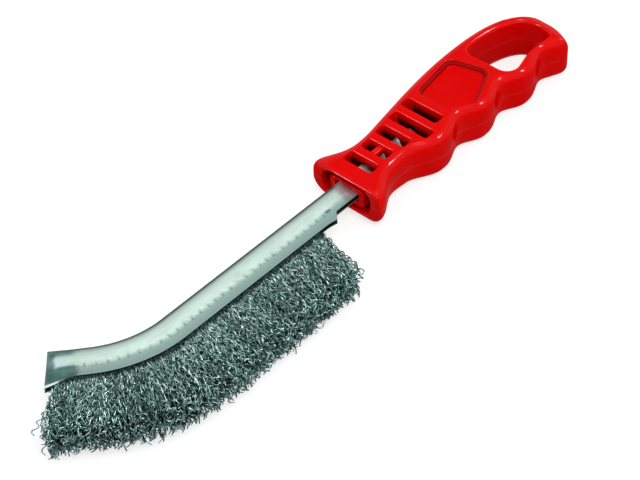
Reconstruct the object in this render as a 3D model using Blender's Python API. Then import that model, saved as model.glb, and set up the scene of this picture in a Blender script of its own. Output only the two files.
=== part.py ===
"""Hand scratch brush lying on its side: a moulded handle pressed onto the tang of a steel
channel, whose curved nose and straight run clamp crimped wires folded over a core wire.

The model is laid out from the handle's mouth: +X runs to the butt, -Y is the side of the
fingers and the wires, +Z is up. At the end it is set with the bottom centre of its box at
the origin.
"""

import math
import random

import bmesh
import bpy
from mathutils import Vector

# Clearances
fit_gap = 0.0003
overrun = 0.004

# Handle outline, measured from the mouth plane and from the axis of the tang
handle_length = 0.1214
handle_thickness = 0.0184
mouth_thickness = 0.0148
thinning_run = 0.0400
mouth_back = 0.0198
mouth_finger = 0.0161
back_neck = 0.0119
back_neck_at = 0.0230
finger_neck = 0.0084
finger_neck_at = 0.0242
back_height = 0.0193
back_to_butt = 0.0364
bump_height = 0.0136
bump_at = 0.0395
bump_to_butt = 0.0054
groove_depth = 0.0040
butt_height = 0.0006
grooves = 3

# How each stretch of the outline eases, as powers
back_flare_power = 1.7
finger_flare_power = 2.2
back_rise_power = 1.25
groove_power = 1.05
groove_lean_power = 1.17
back_butt_power = 2.15
finger_butt_power = 1.5

# Rounding of the handle
grip_fillet = 0.0034
mouth_fillet_back = 0.0092
mouth_fillet_finger = 0.0048
mouth_fillet_side = 0.0058
mouth_rim_back = 0.0042
mouth_rim_back_run = 0.0052
mouth_rim_finger = 0.0006
mouth_rim_side = 0.0009
mouth_rim_run = 0.0020
fillet_steps = 4
rim_steps = 4
ring_spacing = 0.0024
butt_zone = 0.0110
butt_reach = 0.0220
butt_rings = 9
butt_flat = 0.0001

# Mouth: a shallow face round the tang and two deeper pockets beside it
mouth_wall_back = 0.0068
mouth_wall_finger = 0.0055
mouth_wall_side = 0.0015
mouth_recess_fillet = 0.0050
mouth_step = 0.0006
mouth_steps = 4
pocket_depth = 0.0055
pocket_back_from = 0.0094
pocket_finger_from = 0.0066
pocket_draft = 0.0008
pocket_side_power = 0.7
pocket_end_power = 0.8
pocket_steps = 10

# Tang pocket behind the sleeve, arched over the tang
sleeve_depth = 0.0030
arch_half = 0.0041
arch_back = 0.0046
arch_finger = 0.0016
arch_foot = 0.0015

# Slots through the grip, each with the part of its height behind and before the tang axis
slot_at = 0.0079
slot_pitch = 0.00895
slot_width = 0.0050
slot_corner = 0.0007
slot_steps = 2
slot_backs = (0.0092, 0.0082, 0.0090, 0.0102, 0.0118)
slot_fingers = (0.0042, 0.0036, 0.0048, 0.0084, 0.0056)
ribbed_slot = 1
rib_width = 0.0026
rib_at = 0.0026
rib_drop = 0.0011

# Recessed panel on both faces
panel_depth = 0.0020
panel_draft = 0.0005
panel_from_slot = 0.0041
panel_from_hole = 0.0037
panel_back_near = 0.0114
panel_back_far = 0.0150
panel_finger_near = 0.0042
panel_finger_low = 0.0098
panel_finger_far = 0.0016
panel_low_share = 0.36
panel_corner = 0.0026
panel_steps = 3

# Hang hole, an even limb inside the butt
limb_width = 0.0051
hole_to_butt = 0.0365
hole_corner = 0.0045
hole_rim = 0.0021
hole_spacing = 0.0030
hole_steps = 3
hole_rim_steps = 3
hole_keep_share = 0.995

# Steel channel: a folded strip, its tang inside the handle
channel_back = 0.0064
channel_height = 0.01265
channel_width = 0.0046
sheet = 0.0006
fold_steps = 5
lip_height = 0.0039
crease_half = 0.0013
lip_half = 0.00115
tang_height = 0.0102
tang_inside = 0.0412
tang_outside = 0.0107
relief_slant_share = 0.9
straight_run = 0.0914
bend_radius = 0.0459
bend_angle = math.radians(40.0)
nose_run = 0.0148
bend_spacing = 0.0042
end_rings = 3
heel_zone = 0.0080
heel_grow_lip = 0.0010
nose_zone = 0.0100
nose_grow_back = 0.0006
nose_grow_lip = 0.0020

# Core wire and the wires folded over it
core_diameter = 0.0012
core_lead = 0.0015
core_sides = 8
fill_from = 0.0190
fill_short = 0.0018
fill_slices = 10
slice_columns = 8
slice_rows = 2
root_steps = 2
root_stand = 0.0012
root_half = 0.0012
wire_length = 0.0294
wire_nose_length = 0.0272
wire_ragged = 0.0010
wire_splay = 0.0070
wire_crimp = 0.0005
wire_levels = 4
wire_tip_share = 0.42
wire_root_share = 0.62
tunnel_sides = 8
heel_lean = math.radians(21.0)
nose_lean = math.radians(10.0)
ragged_seed = 11

# Edges that turn more than this are drawn sharp
crease_angle = math.radians(35.0)
round_angle = math.radians(50.0)

back_at = handle_length - back_to_butt
last_bump = handle_length - bump_to_butt
bump_pitch = (last_bump - bump_at) / grooves
hole_from = handle_length - hole_to_butt
panel_near = slot_at + slot_pitch * (len(slot_backs) - 1) + slot_width + panel_from_slot
panel_far = hole_from - panel_from_hole
half_thickness = handle_thickness / 2
half_height = channel_height / 2
half_width = channel_width / 2
channel_axis = channel_back - half_height
bend_end = straight_run + bend_radius * bend_angle
path_length = bend_end + nose_run
core_level = half_height - half_width


def clear_scene():
    for thing in list(bpy.data.objects):
        bpy.data.objects.remove(thing, do_unlink=True)


def finish(name, colour, roughness, metallic):
    """A plain surface finish."""
    surface = bpy.data.materials.new(name)
    surface.use_nodes = True
    shader = surface.node_tree.nodes["Principled BSDF"]
    shader.inputs["Base Color"].default_value = (*colour, 1.0)
    shader.inputs["Roughness"].default_value = roughness
    shader.inputs["Metallic"].default_value = metallic
    return surface


def new_object(name, mesh):
    thing = bpy.data.objects.new(name, mesh)
    bpy.context.scene.collection.objects.link(thing)
    return thing


def skin(name, rings):
    """A closed solid through rings of equally many points, capped at both ends."""
    shape = bmesh.new()
    loops = [[shape.verts.new(point) for point in ring] for ring in rings]
    count = len(rings[0])
    for first, second in zip(loops, loops[1:]):
        for i in range(count):
            j = (i + 1) % count
            shape.faces.new((first[i], first[j], second[j], second[i]))
    shape.faces.new(loops[0][::-1])
    shape.faces.new(loops[-1])
    bmesh.ops.recalc_face_normals(shape, faces=shape.faces)
    mesh = bpy.data.meshes.new(name)
    shape.to_mesh(mesh)
    shape.free()
    return new_object(name, mesh)


def shade(thing, angle):
    thing.data.shade_smooth()
    thing.data.set_sharp_from_angle(angle=angle)


def cut(body, cutter):
    """Take a hidden cutter out of a body."""
    cutter.hide_render = True
    cutter.display_type = "WIRE"
    tool = body.modifiers.new(cutter.name, "BOOLEAN")
    tool.operation = "DIFFERENCE"
    tool.solver = "EXACT"
    tool.object = cutter


def ease(share):
    """A half wave from one down to zero."""
    return (1 + math.cos(math.pi * min(max(share, 0), 1))) / 2


def round_off(share, power):
    """The height of a superellipse, one at its middle and zero at its end."""
    return (1 - min(max(share, 0), 1) ** power) ** (1 / power)


def back_edge(x):
    """The palm side of the outline."""
    if x < back_neck_at:
        return back_neck + (mouth_back - back_neck) * ease(x / back_neck_at) ** back_flare_power
    if x < back_at:
        share = (x - back_neck_at) / (back_at - back_neck_at)
        return back_neck + (back_height - back_neck) * math.sin(math.pi / 2 * share) ** back_rise_power
    share = (x - back_at) / (handle_length + butt_flat - back_at)
    return butt_height + (back_height - butt_height) * round_off(share, back_butt_power)


def finger_edge(x):
    """The finger side of the outline: flare, neck, then grooves between even bumps."""
    if x < finger_neck_at:
        flare = ease(x / finger_neck_at) ** finger_flare_power
        return -finger_neck - (mouth_finger - finger_neck) * flare
    if x < bump_at:
        share = (x - finger_neck_at) / (bump_at - finger_neck_at)
        return -bump_height + (bump_height - finger_neck) * ease(share)
    if x < last_bump:
        share = ((x - bump_at) / bump_pitch % 1) ** groove_lean_power
        groove = (1 - math.cos(2 * math.pi * share)) / 2
        return -bump_height + groove_depth * groove ** groove_power
    share = (x - last_bump) / (handle_length + butt_flat - last_bump)
    return butt_height - (bump_height + butt_height) * round_off(share, finger_butt_power)


def side_level(x):
    """Half the thickness of the handle, which thins towards its mouth."""
    return half_thickness - (handle_thickness - mouth_thickness) / 2 * ease(x / thinning_run)


def rim_share(x, run):
    """How much of the mouth's rounding is left at a distance from the mouth."""
    return 1 - math.sqrt(1 - (1 - min(x / run, 1)) ** 2)


def handle_stations():
    """Where the rings of the handle stand, closer together at the mouth and round the butt."""
    stations = [mouth_rim_back_run * (1 - math.cos(math.pi / 2 * i / rim_steps)) for i in range(rim_steps)]
    straight = handle_length - butt_zone - mouth_rim_back_run
    count = math.ceil(straight / ring_spacing)
    stations += [mouth_rim_back_run + straight * i / count for i in range(count)]
    for i in range(butt_rings + 1):
        turn = math.pi / 2 * i / butt_rings
        stations.append(handle_length - butt_zone * (1 - math.sin(turn)))
    return stations


def butt_outline():
    """The outline round the butt, from the finger side to the palm side."""
    stations = [x for x in handle_stations() if x > handle_length - butt_reach]
    lower = [Vector((x, finger_edge(x))) for x in stations]
    upper = [Vector((x, back_edge(x))) for x in stations]
    return lower + upper[::-1]


def distance_to(outline, spot):
    nearest = math.inf
    for start, end in zip(outline, outline[1:]):
        along = end - start
        share = (spot - start).dot(along) / along.length_squared
        nearest = min(nearest, (start + along * min(max(share, 0), 1) - spot).length)
    return nearest


def handle_ring(x, outline):
    """One rounded section of the handle."""
    low = finger_edge(x) + mouth_rim_finger * rim_share(x, mouth_rim_run)
    high = back_edge(x) - mouth_rim_back * rim_share(x, mouth_rim_back_run)
    top = side_level(x) - mouth_rim_side * rim_share(x, mouth_rim_run)
    flare = ease(x / finger_neck_at)
    drop = grip_fillet + (mouth_fillet_side - grip_fillet) * flare
    near_butt = x > handle_length - butt_zone
    upper = []
    for edge, way, fillet in ((low, 1, mouth_fillet_finger), (high, -1, mouth_fillet_back)):
        width = grip_fillet + (fillet - grip_fillet) * flare
        span = min(width, (high - low) / 2)
        side = []
        for i in range(fillet_steps + 1):
            depth = span * (1 - math.cos(math.pi / 2 * i / fillet_steps))
            y = edge + way * depth
            reach = min(distance_to(outline, Vector((x, y))), width) if near_butt else depth
            side.append((y, top - drop + drop * math.sqrt(1 - (1 - reach / width) ** 2)))
        upper += side[::way]
    return [(x, y, z) for y, z in upper] + [(x, y, -z) for y, z in upper[::-1]]


def build_handle_body():
    outline = butt_outline()
    return skin("handle", [handle_ring(x, outline) for x in handle_stations()])


def round_corners(corners, radius, steps):
    """An outline with an arc of the radius at each of its corners."""
    points = []
    count = len(corners)
    for i in range(count):
        corner = Vector(corners[i])
        before = (Vector(corners[i - 1]) - corner).normalized()
        after = (Vector(corners[(i + 1) % count]) - corner).normalized()
        half = before.angle(after) / 2
        centre = corner + (before + after).normalized() * (radius / math.sin(half))
        start = corner + before * (radius / math.tan(half)) - centre
        end = corner + after * (radius / math.tan(half)) - centre
        for step in range(steps + 1):
            points.append(centre + start.slerp(end, step / steps).normalized() * radius)
    return points


def block(name, outline, low, high):
    """An upright prism on a plan outline."""
    return skin(name, [[(p.x, p.y, z) for p in outline] for z in (low, high)])


def slot_outline(index, low, high):
    start = slot_at + index * slot_pitch
    corners = ((start, low), (start + slot_width, low), (start + slot_width, high), (start, high))
    return round_corners(corners, slot_corner, slot_steps)


def cut_slots(handle):
    """Through slots; one is crossed by a rib that lies a little below the faces."""
    reach = half_thickness + overrun
    for index in range(len(slot_backs)):
        low = -slot_fingers[index]
        high = slot_backs[index]
        if index != ribbed_slot:
            cut(handle, block(f"slot_{index}", slot_outline(index, low, high), -reach, reach))
            continue
        below = slot_outline(index, low, rib_at - rib_width / 2)
        above = slot_outline(index, rib_at + rib_width / 2, high)
        cut(handle, block("slot_below_rib", below, -reach, reach))
        cut(handle, block("slot_above_rib", above, -reach, reach))
        rib_face = side_level(slot_at + index * slot_pitch + slot_width / 2) - rib_drop
        whole = slot_outline(index, low, high)
        cut(handle, block("rib_top", whole, rib_face, reach))
        cut(handle, block("rib_bottom", whole, -reach, -rib_face))


def cut_panels(handle):
    """The bare recessed panel on each face, with a little draft on its walls."""
    low_at = panel_near + (panel_far - panel_near) * panel_low_share
    corners = (
        (panel_near, -panel_finger_near),
        (low_at, -panel_finger_low),
        (panel_far, -panel_finger_far),
        (panel_far - panel_corner, panel_back_far),
        (panel_near, panel_back_near),
    )
    wide = round_corners(corners, panel_corner, panel_steps)
    middle = sum(wide, Vector((0, 0))) / len(wide)
    narrow = [p - (p - middle).normalized() * panel_draft for p in wide]
    for side in (1, -1):
        floor = side * (half_thickness - panel_depth)
        face = side * half_thickness
        beyond = side * (half_thickness + overrun)
        levels = ((narrow, floor), (wide, face), (wide, beyond))
        cut(handle, skin(f"panel_{side}", [[(p.x, p.y, z) for p in plan] for plan, z in levels]))


def hole_outline():
    """The hang hole: the outline of the butt, one limb width further in."""
    end = handle_length
    count = math.ceil((end - hole_from) / hole_spacing)
    stations = [hole_from + (end - hole_from) * math.sin(math.pi / 2 * i / count) for i in range(count + 1)]
    outer = [Vector((x, finger_edge(x))) for x in stations]
    outer += [Vector((x, back_edge(x))) for x in stations[::-1]]
    inner = []
    for i in range(1, len(outer) - 1):
        along = (outer[i + 1] - outer[i - 1]).normalized()
        spot = outer[i] + Vector((-along.y, along.x)) * limb_width
        clear = distance_to(outer, spot) > limb_width * hole_keep_share
        if clear and spot.x > hole_from + hole_corner:
            inner.append(spot)
    low = inner[0].y
    high = inner[-1].y
    beyond = hole_from + hole_corner + hole_corner
    box = round_corners(((hole_from, high), (hole_from, low), (beyond, low), (beyond, high)),
                        hole_corner, hole_steps)
    return box[:len(box) // 2] + inner


def grow(outline, amount):
    """Each point of a closed outline moved outwards, square to its neighbours."""
    count = len(outline)
    moved = []
    for i in range(count):
        along = (outline[(i + 1) % count] - outline[i - 1]).normalized()
        moved.append(outline[i] + Vector((along.y, -along.x)) * amount)
    return moved


def cut_hole(handle):
    """The hang hole, with its rims rounded on both faces."""
    outline = hole_outline()
    levels = []
    for i in range(hole_rim_steps + 1):
        turn = math.pi / 2 * i / hole_rim_steps
        levels.append((hole_rim * (1 - math.cos(turn)), half_thickness - hole_rim * (1 - math.sin(turn))))
    levels.append((hole_rim, half_thickness + overrun))
    both = [(amount, -z) for amount, z in levels[::-1]] + levels
    rings = [[(p.x, p.y, z) for p in grow(outline, amount)] for amount, z in both]
    cut(handle, skin("hang_hole", rings))


def oval(low, high, half_width, radius):
    """A rounded upright section, as pairs of y and z."""
    corners = ((low, -half_width), (high, -half_width), (high, half_width), (low, half_width))
    return round_corners(corners, radius, mouth_steps)


def cut_mouth(handle):
    """The stepped face of the mouth, its two pockets and the slot for the tang, which widens to an
    arch behind the sleeve."""
    low = -mouth_finger + mouth_wall_finger
    high = mouth_back - mouth_wall_back
    side = mouth_thickness / 2 - mouth_wall_side
    face = oval(low, high, side, mouth_recess_fillet)
    cut(handle, skin("mouth_face", [[(x, p.x, p.y) for p in face] for x in (-overrun, mouth_step)]))
    for name, inner, outer in (
        ("mouth_pocket_back", pocket_back_from, high),
        ("mouth_pocket_finger", -pocket_finger_from, low),
    ):
        rings = []
        for x, draft in ((mouth_step - overrun / 2, 0), (pocket_depth, pocket_draft)):
            reach = abs(outer - inner) - draft
            way = math.copysign(1, outer)
            ring = []
            for i in range(pocket_steps + 1):
                turn = math.pi * i / pocket_steps
                width = (side - draft) * abs(math.cos(turn)) ** pocket_side_power
                bulge = reach * math.sin(turn) ** pocket_end_power
                ring.append((x, inner + way * bulge, math.copysign(width, math.cos(turn))))
            rings.append(ring)
        cut(handle, skin(name, rings))
    reach = half_width + fit_gap
    foot = crease_half + fit_gap
    back = channel_back + fit_gap
    floor = channel_back - tang_height - fit_gap
    slot = ((back, reach), (channel_back - half_width, reach), (floor, foot))
    arch = ((back, reach), (arch_back, arch_half), (arch_finger, arch_half),
            (-arch_foot, reach), (floor, foot))
    end = tang_inside + fit_gap
    for name, side, start in (("tang_slot", slot, -overrun), ("tang_arch", arch, sleeve_depth)):
        section = side + tuple((y, -z) for y, z in side[::-1])
        cut(handle, skin(name, [[(x, y, z) for y, z in section] for x in (start, end)]))


def build_handle():
    handle = build_handle_body()
    cut_mouth(handle)
    cut_slots(handle)
    cut_panels(handle)
    cut_hole(handle)
    shade(handle, crease_angle)
    handle.data.materials.append(finish("red moulded plastic", (0.72, 0.004, 0.003), 0.3, 0.0))
    return handle


def path_turn(s):
    """How far the channel has turned at a distance from the mouth."""
    return min(max((s - straight_run) / bend_radius, 0), bend_angle)


def place(s, v, z):
    """A point at a distance along the channel, v towards its back and z up."""
    turn = path_turn(s)
    x = -min(s, straight_run) - bend_radius * math.sin(turn)
    y = channel_axis + bend_radius * (1 - math.cos(turn))
    beyond = max(s - bend_end, 0)
    x += v * math.sin(turn) - beyond * math.cos(turn)
    y += v * math.cos(turn) + beyond * math.sin(turn)
    return Vector((x, y, z))


def nose_share(s):
    """Zero along the channel, rising to one at the end of its squeezed nose."""
    return 1 - ease((s - path_length + nose_zone) / nose_zone)


def back_level(s):
    return half_height + nose_grow_back * nose_share(s)


def lip_level(s):
    """The foot of the lips, which flares a little at both of their ends."""
    heel_share = ease((s - tang_outside) / heel_zone)
    return -half_height - nose_grow_lip * nose_share(s) - heel_grow_lip * heel_share


def channel_side(s, depth):
    """Half of the folded strip's section, a depth inside its outer face: the lip, the wall that
    leans outwards from the crease, and the round back."""
    centre = back_level(s) - half_width
    radius = half_width - depth
    points = [(lip_level(s), lip_half - depth), (lip_height - half_height, crease_half - depth)]
    for i in range(fold_steps + 1):
        turn = math.pi / 2 * i / fold_steps
        points.append((centre + radius * math.sin(turn), max(radius * math.cos(turn), 0)))
    return points


def channel_ring(s):
    outer = channel_side(s, 0)
    inner = channel_side(s, sheet)
    loop = outer + [(v, -w) for v, w in outer[-2::-1]]
    loop += [(v, -w) for v, w in inner] + inner[-2::-1]
    return [place(s, v, w) for v, w in loop]


def path_stations(start, end, spacing):
    """Even stations in the bend between two places, and both places themselves."""
    count = math.ceil((bend_end - straight_run) / spacing)
    bend = [straight_run + (bend_end - straight_run) * i / count for i in range(count + 1)]
    heel = [tang_outside + heel_zone * i / end_rings for i in range(end_rings + 1)]
    nose = [path_length - nose_zone * (1 - i / end_rings) for i in range(end_rings)]
    keep = [s for s in bend + heel + nose if start + sheet < s < end - sheet]
    return [start] + sorted(keep) + [end]


def build_channel():
    """The folded strip from the end of the tang to the nose, its lips cut off along the tang."""
    stations = path_stations(-tang_inside, path_length, bend_spacing)
    channel = skin("channel", [channel_ring(s) for s in stations])
    floor = channel_back - tang_height
    low = floor - channel_height
    beyond = tang_inside + overrun
    slanted = -tang_outside - relief_slant_share * channel_height
    relief = ((beyond, floor), (-tang_outside, floor), (slanted, low), (beyond, low))
    sides = (-channel_width, channel_width)
    cut(channel, skin("tang_relief", [[(x, y, z) for x, y in relief] for z in sides]))
    shade(channel, crease_angle)
    channel.data.materials.append(finish("galvanised steel", (0.60, 0.68, 0.65), 0.42, 0.85))
    return channel


def circle(s, v, radius, sides):
    turns = [2 * math.pi * (i + 0.5) / sides for i in range(sides)]
    return [place(s, v + radius * math.cos(turn), radius * math.sin(turn)) for turn in turns]


def build_core_wire():
    """The wire that all the others are folded over, along the whole fill."""
    stations = path_stations(fill_from - core_lead, path_length - fill_short + core_lead / 2, bend_spacing)
    rings = [circle(s, core_level, core_diameter / 2, core_sides) for s in stations]
    core = skin("core_wire", rings)
    shade(core, round_angle)
    core.data.materials.append(finish("bright steel wire", (0.45, 0.50, 0.48), 0.35, 0.9))
    return core


def root_side(s):
    """Half of the packed roots' section: round over the core wire, narrow between the lips and
    flared below them."""
    radius = (half_width - sheet) * math.cos(math.pi / 4 / fold_steps) - fit_gap
    points = []
    for i in range(root_steps):
        turn = math.pi / 2 * (i + 0.5) / root_steps
        points.append((core_level + radius * math.cos(turn), radius * math.sin(turn)))
    points.append((lip_height - half_height, crease_half - sheet - fit_gap))
    neck = lip_half - sheet - fit_gap
    return points + [(lip_level(s) - fit_gap, neck), (lip_level(s) - root_stand, root_half)]


def build_slice(index, chance):
    """A slice of the fill: packed roots round the core wire, each cell of its foot drawn out
    into two tapering, crimped strands that fan apart."""
    length = (path_length - fill_short - fill_from) / fill_slices
    start = fill_from + index * length + fit_gap / 2
    end = start + length - fit_gap
    shape = bmesh.new()
    outer = []
    tunnel = []
    for column in range(slice_columns + 1):
        s = start + (end - start) * column / slice_columns
        half = root_side(s)
        foot_v, foot_w = half[-1]
        sections = [(v, w) for v, w in half]
        sections += [(foot_v, foot_w * (1 - 2 * row / slice_rows)) for row in range(1, slice_rows)]
        sections += [(v, -w) for v, w in half[::-1]]
        outer.append([shape.verts.new(place(s, v, w)) for v, w in sections])
        reach = (core_diameter / 2 + fit_gap) / math.cos(math.pi / tunnel_sides)
        tunnel.append([shape.verts.new(point) for point in circle(s, core_level, reach, tunnel_sides)])
    feet = []
    around = len(outer[0])
    first_foot = len(root_side(start)) - 1
    for first, second in zip(outer, outer[1:]):
        for i in range(around):
            j = (i + 1) % around
            quad = (first[i], first[j], second[j], second[i])
            if first_foot <= i < first_foot + slice_rows:
                feet.append(shape.faces.new((quad[0], quad[1], quad[2])))
                feet.append(shape.faces.new((quad[0], quad[2], quad[3])))
            else:
                shape.faces.new(quad)
    for first, second in zip(tunnel, tunnel[1:]):
        for i in range(tunnel_sides):
            j = (i + 1) % tunnel_sides
            shape.faces.new((first[i], second[i], second[j], first[j]))
    for ring, bore in ((outer[0], tunnel[0]), (outer[-1], tunnel[-1])):
        edges = [shape.edges.get((ring[i], ring[(i + 1) % around])) for i in range(around)]
        edges += [shape.edges.get((bore[i], bore[(i + 1) % tunnel_sides])) for i in range(tunnel_sides)]
        bmesh.ops.bridge_loops(shape, edges=edges)
    bmesh.ops.recalc_face_normals(shape, faces=shape.faces)
    for face in feet:
        draw_strand(shape, face, start, end, chance)
    mesh = bpy.data.meshes.new(f"wire_fill_{index + 1:02d}")
    shape.to_mesh(mesh)
    shape.free()
    return new_object(mesh.name, mesh)


def fill_share(s):
    """Zero at the heel of the fill and one at its nose."""
    return (s - fill_from) / (path_length - fill_from)


def strand_lean(s):
    """The tilt towards the nose, largest at the heel of the fill."""
    return heel_lean + (nose_lean - heel_lean) * fill_share(s)


def draw_strand(shape, face, start, end, chance):
    """Draw one cell of the foot out into a strand."""
    centre = face.calc_center_median()
    s = station_of(centre)
    splay = wire_splay * centre.z / (root_half * (1 - 2 / (3 * slice_rows)))
    length = wire_length + (wire_nose_length - wire_length) * fill_share(s)
    length += wire_ragged * chance.uniform(-1, 1)
    reach = math.sqrt(length ** 2 - (splay - centre.z) ** 2)
    lean = strand_lean(s)
    root = [(vert.co - centre) for vert in face.verts]
    turn = path_turn(s)
    down = Vector((-math.sin(turn), -math.cos(turn), 0))
    ahead = Vector((-math.cos(turn), math.sin(turn), 0))
    way = down * math.cos(lean) + ahead * math.sin(lean)
    for level in range(1, wire_levels + 1):
        share = level / wire_levels
        made = bmesh.ops.extrude_discrete_faces(shape, faces=[face])
        face = made["faces"][0]
        kink = wire_crimp * (-1) ** level if level < wire_levels else 0
        spot = centre + way * (reach * share) + ahead * kink
        spot.z = centre.z + (splay - centre.z) * share
        size = wire_root_share + (wire_tip_share - wire_root_share) * share
        for vert, arm in zip(face.verts, root):
            vert.co = spot + arm * size


def station_of(point):
    """How far along the channel a point of the fill's foot lies."""
    ahead = -point.x - straight_run
    if ahead <= 0:
        return -point.x
    centre_y = channel_axis + bend_radius
    turn = math.atan2(ahead, centre_y - point.y)
    if turn <= bend_angle:
        return straight_run + bend_radius * turn
    along = Vector((-math.cos(bend_angle), math.sin(bend_angle), 0))
    return bend_end + (point - place(bend_end, 0, 0)).dot(along)


def build_fill():
    chance = random.Random(ragged_seed)
    wires = finish("crimped steel wire", (0.30, 0.36, 0.35), 0.38, 0.85)
    fill = [build_slice(index, chance) for index in range(fill_slices)]
    for piece in fill:
        piece.data.materials.append(wires)
    return fill


def set_on_origin(pieces):
    """Carry the pieces on an empty that puts the bottom centre of their box at the origin."""
    bpy.context.view_layer.update()
    graph = bpy.context.evaluated_depsgraph_get()
    spots = []
    for piece in pieces:
        mesh = piece.evaluated_get(graph).to_mesh()
        spots += [piece.matrix_world @ vert.co for vert in mesh.vertices]
    low = Vector([min(spot[i] for spot in spots) for i in range(3)])
    high = Vector([max(spot[i] for spot in spots) for i in range(3)])
    carrier = bpy.data.objects.new("brush_origin", None)
    bpy.context.scene.collection.objects.link(carrier)
    carrier.location = (-(low.x + high.x) / 2, -(low.y + high.y) / 2, -low.z)
    for thing in bpy.data.objects:
        if thing is not carrier:
            thing.parent = carrier
    print("mouth axis placed at", tuple(round(value, 6) for value in carrier.location))
    print("box size", tuple(round(value, 6) for value in high - low))


clear_scene()
brush = [build_handle(), build_channel(), build_core_wire()] + build_fill()
set_on_origin(brush)
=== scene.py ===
"""Looks of the hand scratch brush: its moulded handle, folded channel, core wire and crimped wires.

The brush lies on its side: +X runs to the butt, -Y is the side of the fingers and the wires, +Z is
up. Its pieces are laid out from the middle of the handle's mouth, and set there in the frame.
"""

import math
import random

import bpy
import numpy as np
from mathutils import Matrix, Vector


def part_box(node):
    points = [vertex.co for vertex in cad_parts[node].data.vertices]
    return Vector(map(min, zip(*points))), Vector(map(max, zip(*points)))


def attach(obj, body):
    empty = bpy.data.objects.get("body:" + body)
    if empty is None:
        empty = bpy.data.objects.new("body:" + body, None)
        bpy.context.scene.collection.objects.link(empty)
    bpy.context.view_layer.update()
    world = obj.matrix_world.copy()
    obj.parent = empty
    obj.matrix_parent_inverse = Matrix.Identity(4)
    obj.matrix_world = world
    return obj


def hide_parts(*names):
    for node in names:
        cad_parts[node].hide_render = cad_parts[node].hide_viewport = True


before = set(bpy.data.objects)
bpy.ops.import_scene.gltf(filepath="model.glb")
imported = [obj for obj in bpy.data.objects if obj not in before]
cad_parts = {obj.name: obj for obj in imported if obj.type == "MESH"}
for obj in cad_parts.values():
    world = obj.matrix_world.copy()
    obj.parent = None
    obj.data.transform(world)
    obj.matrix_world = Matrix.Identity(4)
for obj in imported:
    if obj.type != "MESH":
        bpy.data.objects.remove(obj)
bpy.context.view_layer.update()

# Clearances
weld = 0.000001
overrun = 0.004
lift = 0.00002
tang_gap = 0.0003

# Steps of a rounding where nothing else is said
coarse_steps = 4
middle_steps = 5
fine_steps = 8

# Edges that turn more than this stay sharp
sharp_angle = math.radians(38.0)
rod_sharp_angle = math.radians(50.0)

# Handle outline, measured from the mouth plane and from the axis of the tang
mouth_thickness = 0.0148
thinning_run = 0.0400
mouth_back = 0.0198
mouth_finger = 0.0161
back_neck = 0.0119
back_neck_at = 0.0230
finger_neck = 0.0084
finger_neck_at = 0.0242
back_height = 0.0193
back_to_butt = 0.0364
bump_height = 0.0136
bump_at = 0.0395
bump_to_butt = 0.0054
groove_depth = 0.0040
butt_height = 0.0006
grooves = 3
back_flare_power = 1.7
finger_flare_power = 2.2
back_rise_power = 1.25
groove_power = 1.05
groove_lean_power = 1.17
back_butt_power = 2.55
finger_butt_power = 1.5

# Rounding of the handle
grip_fillet = 0.0042
mouth_fillet_back = 0.0092
mouth_fillet_finger = 0.0048
mouth_fillet_side = 0.0058
mouth_rim_back = 0.0042
mouth_rim_back_run = 0.0052
mouth_rim_finger = 0.0006
mouth_rim_side = 0.0009
mouth_rim_run = 0.0020
fillet_steps = 9
ring_spacing = 0.0010
butt_zone = 0.0110
butt_reach = 0.0220
butt_rings = 26
butt_flat = 0.0001
butt_drop_grow = 0.0014

# Mouth: a recess with draft round a sleeve. The sleeve's opening and the arch of the hollow behind
# it are pairs of a level and half a width.
recess_back = 0.0130
recess_finger = 0.0106
recess_half = 0.0059
recess_fillet = 0.0050
recess_depth = 0.0058
recess_draft = 0.0005
recess_rim = 0.0008
sleeve_back = 0.0094
sleeve_finger = 0.0072
sleeve_half = 0.0039
sleeve_corner = 0.0012
sleeve_step = 0.0006
sleeve_edge = 0.0003
sleeve_depth = 0.0030
sleeve_edge_steps = 3
opening_rim = 0.0003
opening = ((-0.0045, 0.0022), (-0.0038, 0.00245), (0.0064, 0.0034), (0.0072, 0.0030))
hollow_cover = 0.0031
hollow_spacing = 0.0033
arch_foot = 0.0030
arch = (
    (-0.0041, 0.0016), (-0.0015, 0.0026), (0.0002, 0.0029), (0.0014, 0.0039),
    (0.0027, 0.0043), (0.0042, 0.0037), (0.0052, 0.0027), (0.0067, 0.0026),
)

# Slots through the grip
slot_at = 0.0079
slot_pitch = 0.00895
slot_width = 0.0050
slot_corner = 0.0009
slot_rim = 0.0009
slot_backs = (0.0092, 0.0082, 0.0090, 0.0102, 0.0118)
slot_fingers = (0.0042, 0.0036, 0.0048, 0.0084, 0.0056)
ribbed_slot = 1
rib_width = 0.0026
rib_at = 0.0026
rib_drop = 0.0011
rib_corner = 0.0005

# Recessed panel on both faces
panel_depth = 0.0027
panel_draft = 0.0008
panel_rim = 0.0010
panel_floor_fillet = 0.0015
panel_from_slot = 0.0041
panel_from_hole = 0.0037
panel_back_near = 0.0114
panel_back_far = 0.0150
panel_finger_near = 0.0042
panel_finger_low = 0.0098
panel_finger_far = 0.0016
panel_low_share = 0.36
panel_corner = 0.0042

# Hang hole
limb_width = 0.0054
hole_to_butt = 0.0365
hole_corner = 0.0045
hole_rim = 0.0021
hole_spacing = 0.0012
hole_keep_share = 0.995
hole_softening = 14
hole_rim_steps = 7

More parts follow.
